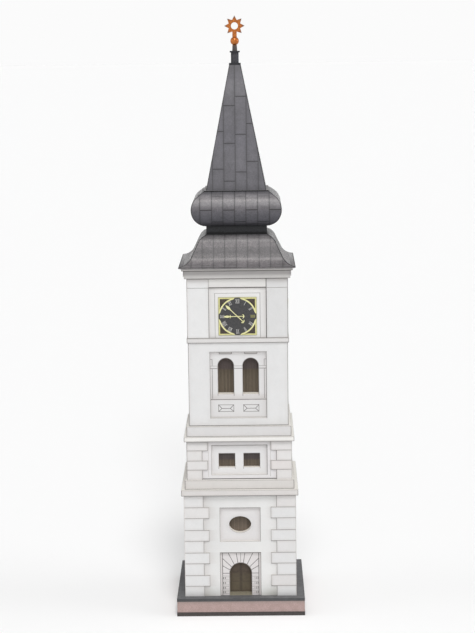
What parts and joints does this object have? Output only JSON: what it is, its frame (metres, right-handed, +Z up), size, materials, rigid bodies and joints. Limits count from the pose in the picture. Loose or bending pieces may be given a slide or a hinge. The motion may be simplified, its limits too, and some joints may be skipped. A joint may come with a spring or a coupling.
{
  "type": "card model bell tower",
  "caption": "Printed-card scale model of a baroque bell tower: square storeys with quoins, clock faces, bulb roof, tall spire, ball and star, on a low box base.",
  "frame": {"origin": "centre of the underside of the box base", "axes": "+Z up along the tower axis; the front with the camera's view faces -Y, +X to its right"},
  "size_m": [0.0668, 0.0668, 0.3093],
  "materials": {
    "wall_card": "matte printed card, off-white with grey ink joints",
    "trim_card": "matte printed card, grey-beige mouldings",
    "rose_card": "matte printed card, dull rose",
    "slate_card": "matte printed card, dark slate",
    "foot_card": "matte printed card, dark grey-brown",
    "window_paper": "matte printed paper, dark olive brown",
    "roof_paper": "matte printed paper, mottled grey sheet roofing",
    "neck_paper": "matte printed paper, near black",
    "clock_paper": "matte printed paper, pale yellow",
    "dial_paper": "matte printed paper, dark grey",
    "hand_paper": "matte printed paper, pale yellow",
    "finial_paper": "matte printed card, dark grey",
    "copper_bead": "satin copper paint on a bead",
    "copper_card": "satin copper-gold printed card"
  },
  "bodies": {
    "root": {"base_foot": "foot_card", "base_sides": "rose_card", "base_deck": "slate_card", "ground_walls": "wall_card", "ground_quoins": "wall_card", "ground_window_panels": "wall_card", "ground_window_backs": "window_paper", "door_surrounds": "wall_card", "doors": "window_paper", "ground_cornice": "trim_card", "ground_attic_band": "wall_card", "second_walls": "wall_card", "second_quoins": "wall_card", "second_window_panels": "wall_card", "second_window_backs": "window_paper", "second_cornice": "trim_card", "second_attic_band": "wall_card", "belfry_walls": "wall_card", "belfry_window_panels": "wall_card", "belfry_window_backs": "window_paper", "string_course": "trim_card", "clock_walls": "wall_card", "clock_corner_strips": "wall_card", "clock_friezes": "wall_card", "clock_squares": "clock_paper", "clock_dials": "dial_paper", "hour_hands": "hand_paper", "minute_hands": "hand_paper", "main_cornice": "trim_card", "eaves_fillet": "trim_card", "roof_skirt": "roof_paper", "roof_neck": "neck_paper", "roof_bulb": "roof_paper", "spire_base_plate": "neck_paper", "spire": "roof_paper", "spire_collar": "neck_paper", "finial_shaft": "finial_paper", "finial_cap": "neck_paper", "finial_stem": "finial_paper", "finial_ball": "copper_bead", "finial_star": "copper_card"}
  },
  "joints": []
}
